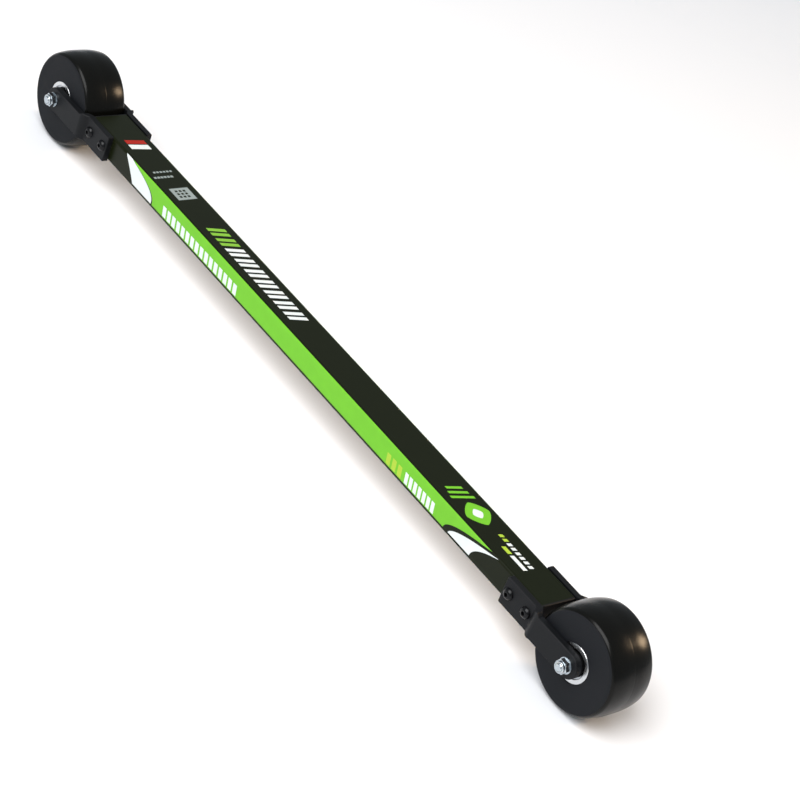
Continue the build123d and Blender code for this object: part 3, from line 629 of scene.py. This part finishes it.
def tyre_side_rubber():
    """Natural rubber side, moulded against blasted steel: matte and even, with a faint bluish bloom."""
    material, tree, shader = new_finish("moulded_side_rubber", IOR=1.52, Specular_IOR_Level=0.18)
    place = add_node(tree, "ShaderNodeTexCoord").outputs["Object"]
    bloom = add_node(tree, "ShaderNodeTexNoise", {"Vector": place, "Scale": 1 / (14 * MM), "Detail": 4.0})
    add_tint(tree, shader, bloom, colours().rubber, dark=0.88, light=1.14)
    add_gloss(tree, shader, bloom, low=0.6, high=0.72)
    blast = add_node(tree, "ShaderNodeTexNoise", {"Vector": place, "Scale": 1 / (0.7 * MM), "Detail": 2.0})
    add_relief(tree, shader, blast, depth=0.06 * MM)
    return material


def tyre_tread_rubber():
    """Natural rubber tread, moulded against polished steel: glossy near-black with soft reflections,
    and faint hoops round the tyre, 1.2 mm apart, from the turned mould."""
    material, tree, shader = new_finish("moulded_tread_rubber", IOR=1.52, Specular_IOR_Level=0.15)
    place = add_node(tree, "ShaderNodeTexCoord").outputs["Object"]
    patch = add_node(tree, "ShaderNodeTexNoise", {"Vector": place, "Scale": 1 / (11 * MM), "Detail": 3.0})
    add_tint(tree, shader, patch, colours().tread, dark=0.8, light=1.25)
    add_gloss(tree, shader, patch, low=0.2, high=0.27)
    hoops = add_node(tree, "ShaderNodeTexWave", {"Vector": place, "Scale": WAVE_PERIOD / (1.2 * MM)},
                     wave_type="BANDS", bands_direction="Y")
    add_relief(tree, shader, hoops, depth=0.01 * MM)
    return material


def floor_paint():
    """Matt white studio paint, rolled: near-white with a very slight stipple in its gloss."""
    material, tree, shader = new_finish("rolled_floor_paint", Specular_IOR_Level=0.2)
    place = add_node(tree, "ShaderNodeTexCoord").outputs["Object"]
    stipple = add_node(tree, "ShaderNodeTexNoise", {"Vector": place, "Scale": 1 / (300 * MM), "Detail": 2.0})
    add_tint(tree, shader, stipple, colours().floor, dark=0.99, light=1.0)
    add_gloss(tree, shader, stipple, low=0.75, high=0.85)
    return material


# ---------------------------------------------------------------- operators
OPERATORS = []


def operator(cls):
    """Lists an operator class, in the order that main runs them."""
    OPERATORS.append(cls)
    return cls


def coat(names, material):
    """Gives CAD nodes a material in every one of their slots."""
    for name in names:
        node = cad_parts[name]
        if not node.material_slots:
            node.data.materials.append(material)
        for material_slot in node.material_slots:
            material_slot.material = material


def at_both_ends(*names):
    """The front and rear nodes with these names."""
    return [f"{end}_{name}" for end in ENDS for name in names]


@operator
class RollerSkiShaftFilm(bpy.types.Operator):
    """Covers the shaft in black film"""
    bl_idname = "roller_ski.shaft_film"
    bl_label = "Shaft film"

    def execute(self, context):
        coat(["shaft"], printed_film("black_film", roughness=0.3))
        return {"FINISHED"}


@operator
class RollerSkiFields(bpy.types.Operator):
    """Prints the green fields and the white wedges on both sides of the shaft"""
    bl_idname = "roller_ski.fields"
    bl_label = "Side fields"

    def execute(self, context):
        sizes = context.scene.roller_ski_print
        rear_end = (sizes.field_rear_foot, sizes.field_rear_tip, sizes.field_rear_bow)
        front_end = (sizes.field_front_foot, sizes.field_front_tip, sizes.field_front_bow)
        green, white = printed_film("green_film"), printed_film("white_film")
        field = side_field(rear_end, front_end, sizes, columns=120)
        add_film("green_side_fields", [field], GROUND, green, sizes)
        rear_wedge = side_field(
            (sizes.rear_wedge_foot, sizes.rear_wedge_tip, sizes.rear_wedge_bow),
            (sizes.field_rear_foot - sizes.pinstripe, sizes.field_rear_tip - sizes.pinstripe,
             sizes.field_rear_bow), sizes, columns=20)
        front_wedge = side_field(
            (sizes.front_wedge_rear, sizes.front_wedge_tip, sizes.front_wedge_rear_bow),
            (sizes.front_wedge_front, sizes.front_wedge_tip, sizes.front_wedge_front_bow),
            sizes, columns=20, top=WEDGE_END)
        add_film("white_side_wedges", [rear_wedge, front_wedge], GROUND, white, sizes)
        return {"FINISHED"}


@operator
class RollerSkiSideBars(bpy.types.Operator):
    """Prints the rows of slanted bars on the green fields"""
    bl_idname = "roller_ski.side_bars"
    bl_label = "Side bars"

    def execute(self, context):
        sizes = context.scene.roller_ski_print
        lower_edge = sum(girth(sizes)) / MM
        both, leading = [], []
        for hand in HANDS:
            strip = {"near": hand * (lower_edge - SIDE_BAR_FOOT), "far": hand * (lower_edge - SIDE_BAR_HEAD),
                     "slant": hand * SIDE_SLANT}
            both.append(bars(spaced(first=-188, spacing=7, number=16), length=4.8, **strip))
            both.append(bars(spaced(first=150, spacing=5.4, number=7), length=3.7, **strip))
            leading.append(bars(spaced(first=127, spacing=7, number=3), length=4.6, **strip))
        add_film("white_side_bars", both, OVERPRINT, bpy.data.materials["white_film"], sizes)
        add_film("lime_side_bars", leading, OVERPRINT, printed_film("lime_film"), sizes)
        return {"FINISHED"}


@operator
class RollerSkiTopPrint(bpy.types.Operator):
    """Prints the twin bars, lozenge, ticks, dashes and patch and the two rear bars on top of the shaft"""
    bl_idname = "roller_ski.top_print"
    bl_label = "Top print"

    def execute(self, context):
        sizes = context.scene.roller_ski_print
        black, white, green, lime = (bpy.data.materials[f"{name}_film"]
                                     for name in ("black", "white", "green", "lime"))
        leaf = printed_film("leaf_film")
        grey = printed_film("grey_film", roughness=0.4)
        red = printed_film("red_film")

        pairs = spaced(first=-144, spacing=13.9, number=9)
        strokes = np.stack([pairs, pairs + 6.2], -1).ravel()
        stroke = {"length": 3.9, "near": -7.8, "far": 7.8, "slant": TOP_SLANT}
        add_film("green_twin_bars", [bars(strokes[:4], **stroke)], GROUND, leaf, sizes)
        add_film("white_twin_bars", [bars(strokes[4:], **stroke)], GROUND, white, sizes)

        outline = lozenge(centre=210.5, half_length=12.5, half_width=11)
        heart = lozenge(centre=210.5, half_length=5.2, half_width=4.5)
        add_film("green_lozenge", [outline], GROUND, green, sizes)
        add_film("pale_lozenge", [heart], OVERPRINT, white, sizes)
        feet, reach = spaced(first=178, spacing=5, number=3), spaced(first=6.5, spacing=1.5, number=3)
        ticks = bars(feet, length=2.6, near=-reach, far=reach, slant=TOP_SLANT)
        add_film("green_ticks", [ticks], GROUND, green, sizes)

        row = spaced(first=233.5, spacing=4.9, number=8)
        upper = {"near": 0.6, "far": 4.2, "slant": TOP_SLANT}
        lower = {"near": -5.6, "far": -2.2, "slant": TOP_SLANT}
        lead = [bars(row[:2], length=3, **upper), bars(245, length=8, **lower)]
        rest = [bars(row[2:], length=3, **upper), bars(255, length=16, **lower)]
        add_film("lime_small_dashes", lead, GROUND, lime, sizes)
        add_film("white_small_dashes", rest, GROUND, white, sizes)

        broad = {"near": -9, "far": 9}
        add_film("red_block", [bars(-269.2, length=5.4, slant=REAR_SLANT, **broad)], GROUND, red, sizes)
        add_film("white_block", [bars(-262.6, length=6.4, slant=REAR_SLANT, **broad)], GROUND, white, sizes)
        places = spaced(first=0, spacing=3.2, number=6)
        rows = [bars(-223, length=2.2, near=places - 9.5, far=places - 7.3),
                bars(-216, length=2.6, near=places - 13, far=places - 10.6)]
        add_film("grey_dashes", rows, GROUND, grey, sizes)

        add_film("grey_patch", [bars(-198.5, length=16, **broad)], GROUND, grey, sizes)
        cell = 2.4
        along, across = np.meshgrid(spaced(first=-195.6, spacing=3.9, number=3),
                                    spaced(first=-5.6, spacing=3.9, number=3))
        cells = bars(along, length=cell, near=across, far=across + cell)
        add_film("dark_cells", [cells], OVERPRINT, black, sizes)
        return {"FINISHED"}


@operator
class RollerSkiTyres(bpy.types.Operator):
    """Moulds the two tyres"""
    bl_idname = "roller_ski.tyres"
    bl_label = "Tyres"

    def execute(self, context):
        wheel = context.scene.roller_ski_wheel
        side, tread = tyre_side_rubber(), tyre_tread_rubber()
        for end in ENDS:
            low, high = WHEEL_BOXES[end]
            hub_low, hub_high = HUB_BOXES[end]
            bore = (hub_high[2] - hub_low[2]) / 2 + wheel.gap
            half, tread_rows = tyre_profile(wheel, (high[1] - low[1]) / 2, (high[2] - low[2]) / 2, bore)
            mirrored = half[:0:-1] * (1, -1)
            profile = np.concatenate([half, mirrored])
            points, quads = revolved(profile, (low + high) / 2, wheel.steps)
            on_tread = quads % len(profile)
            away = np.minimum(on_tread, len(profile) - on_tread).max(1)
            quads = outwards(points, quads)
            add_piece(f"{end}_moulded_tyre", points, quads, [tread, side], f"{end}_wheel",
                      [f"{end}_tyre"], face_material=(away > tread_rows).astype(int))
        return {"FINISHED"}


@operator
class RollerSkiForks(bpy.types.Operator):
    """Finishes the fork plates, their screws, the end caps and the blocks inside the shaft"""
    bl_idname = "roller_ski.forks"
    bl_label = "Forks"

    def execute(self, context):
        coat(at_both_ends("left_fork_plate", "right_fork_plate"), powder_coat())
        coat(at_both_ends("fork_screws"), black_oxide())
        coat(at_both_ends("end_cap"), moulded_cap_plastic())
        coat(at_both_ends("fork_block"), extruded_aluminium())
        return {"FINISHED"}


@operator
class RollerSkiHubs(bpy.types.Operator):
    """Finishes the hubs, bearings and one-way clutch"""
    bl_idname = "roller_ski.hubs"
    bl_label = "Hubs and bearings"

    def execute(self, context):
        coat(at_both_ends("hub"), turned_aluminium())
        coat(at_both_ends("bearing_outer_rings", "bearing_inner_rings", "bearing_balls")
             + ["rear_clutch_shell", "rear_clutch_rollers"], ground_steel())
        coat(at_both_ends("bearing_seals"), seal_rubber())
        coat(at_both_ends("bearing_cages") + ["rear_clutch_cage"], natural_nylon())
        return {"FINISHED"}


@operator
class RollerSkiAxles(bpy.types.Operator):
    """Finishes the axle bolts, nuts, washers, bushes and spacers"""
    bl_idname = "roller_ski.axles"
    bl_label = "Axles"

    def execute(self, context):
        plated = zinc_plate()
        for end in ENDS:
            low, high = box_of(f"{end}_axle_bolt")
            points, quads = between_poles(threaded_bolt(context.scene.roller_ski_bolt, low, high))
            add_piece(f"{end}_threaded_bolt", points, quads, [plated], "frame",
                      [f"{end}_axle_bolt"])
        coat(at_both_ends("axle_nut", "axle_washers"), plated)
        coat(at_both_ends("nut_ring"), bpy.data.materials["natural_nylon"])
        coat(at_both_ends("bearing_spacer", "axle_bushes"), bpy.data.materials["extruded_aluminium"])
        return {"FINISHED"}


FLOOR_STEPS = 9


def standing(right, up, back, place):
    """The matrix of an object at a place, with its own X, Y and Z along three directions."""
    turn = np.eye(4)
    turn[:3] = np.stack([right, up, back, place], -1)
    return Matrix(turn.tolist())


def add_softbox(name, place, size, power, colour, spread=180):
    """A square area light at a place, facing the ski's middle. Its beam spreads over an angle in degrees."""
    light = bpy.data.lights.new(name, "AREA")
    light.shape = "SQUARE"
    light.size = size
    light.energy = power
    light.color = linear(colour)
    light.spread = np.radians(spread)
    lamp = bpy.data.objects.new(name, light)
    bpy.context.scene.collection.objects.link(lamp)
    back = np.array(place) / np.linalg.norm(place)
    right = np.cross((0, 0, 1), back)
    right /= np.linalg.norm(right)
    lamp.matrix_world = standing(right, np.cross(back, right), back, place)


@operator
class RollerSkiStudio(bpy.types.Operator):
    """Sets the camera, the floor and the lights"""
    bl_idname = "roller_ski.studio"
    bl_label = "Studio"

    def execute(self, context):
        stage = context.scene.roller_ski_stage
        a, e, r = stage.azimuth, stage.elevation, stage.roll
        back = np.array([np.sin(a) * np.cos(e), -np.cos(a) * np.cos(e), np.sin(e)])
        level = np.array([np.cos(a), np.sin(a), 0])
        plumb = np.cross(back, level)
        right, up = level * np.cos(r) + plumb * np.sin(r), plumb * np.cos(r) - level * np.sin(r)
        camera = bpy.data.objects.new("camera", bpy.data.cameras.new("camera"))
        camera.data.lens = stage.lens
        camera.data.sensor_width = 36.0
        camera.data.shift_x, camera.data.shift_y = stage.shift_x, stage.shift_y
        camera.matrix_world = standing(right, up, back, stage.place)
        context.scene.collection.objects.link(camera)
        context.scene.camera = camera

        side = np.linspace(-stage.floor / 2, stage.floor / 2, FLOOR_STEPS)
        x, y = np.meshgrid(side, side, indexing="ij")
        points = np.stack([x, y, np.zeros_like(x)], -1).reshape(-1, 3)
        mesh = bpy.data.meshes.new("studio_floor")
        mesh.from_pydata(points.tolist(), [], grid_faces(FLOOR_STEPS, FLOOR_STEPS).tolist())
        mesh.materials.append(floor_paint())
        floor = bpy.data.objects.new("studio_floor", mesh)
        context.scene.collection.objects.link(floor)

        world = bpy.data.worlds.new("studio")
        world.use_nodes = True
        sky = world.node_tree.nodes["Background"]
        sky.inputs["Color"].default_value = (*linear("#E4EEF6"), 1.0)
        sky.inputs["Strength"].default_value = stage.world
        context.scene.world = world
        context.scene.view_settings.view_transform = "Standard"
        add_softbox("overhead", place=(0.2, -1.9, 2.7), size=2.8, power=stage.overhead, colour="#FFFFFF")
        add_softbox("glow", place=(1.35, 3.0, 1.7), size=0.8, power=stage.glow, colour="#FFDDB4", spread=50)
        return {"FINISHED"}


class RollerSkiPanel(bpy.types.Panel):
    """Lists the roller ski's operators in the order that they run"""
    bl_idname = "VIEW3D_PT_roller_ski"
    bl_label = "Roller Ski"
    bl_space_type = "VIEW_3D"
    bl_region_type = "UI"
    bl_category = "Roller Ski"

    def draw(self, context):
        """One button for each operator."""
        for cls in OPERATORS:
            self.layout.operator(cls.bl_idname)


SETTINGS = {"roller_ski_print": RollerSkiPrint, "roller_ski_wheel": RollerSkiWheel,
            "roller_ski_bolt": RollerSkiBolt, "roller_ski_colours": RollerSkiColours,
            "roller_ski_stage": RollerSkiStage}


def register():
    """Registers the settings, the operators and the panel, and puts the settings on the scene."""
    for name, cls in SETTINGS.items():
        bpy.utils.register_class(cls)
        setattr(bpy.types.Scene, name, bpy.props.PointerProperty(type=cls))
    for cls in [*OPERATORS, RollerSkiPanel]:
        bpy.utils.register_class(cls)


def unregister():
    """Takes away what register adds, in the opposite order."""
    for cls in [RollerSkiPanel, *reversed(OPERATORS)]:
        bpy.utils.unregister_class(cls)
    for name, cls in reversed(SETTINGS.items()):
        delattr(bpy.types.Scene, name)
        bpy.utils.unregister_class(cls)


def main():
    register()
    for cls in OPERATORS:
        group, call = cls.bl_idname.split(".")
        getattr(getattr(bpy.ops, group), call)()


if __name__ == "__main__":
    main()
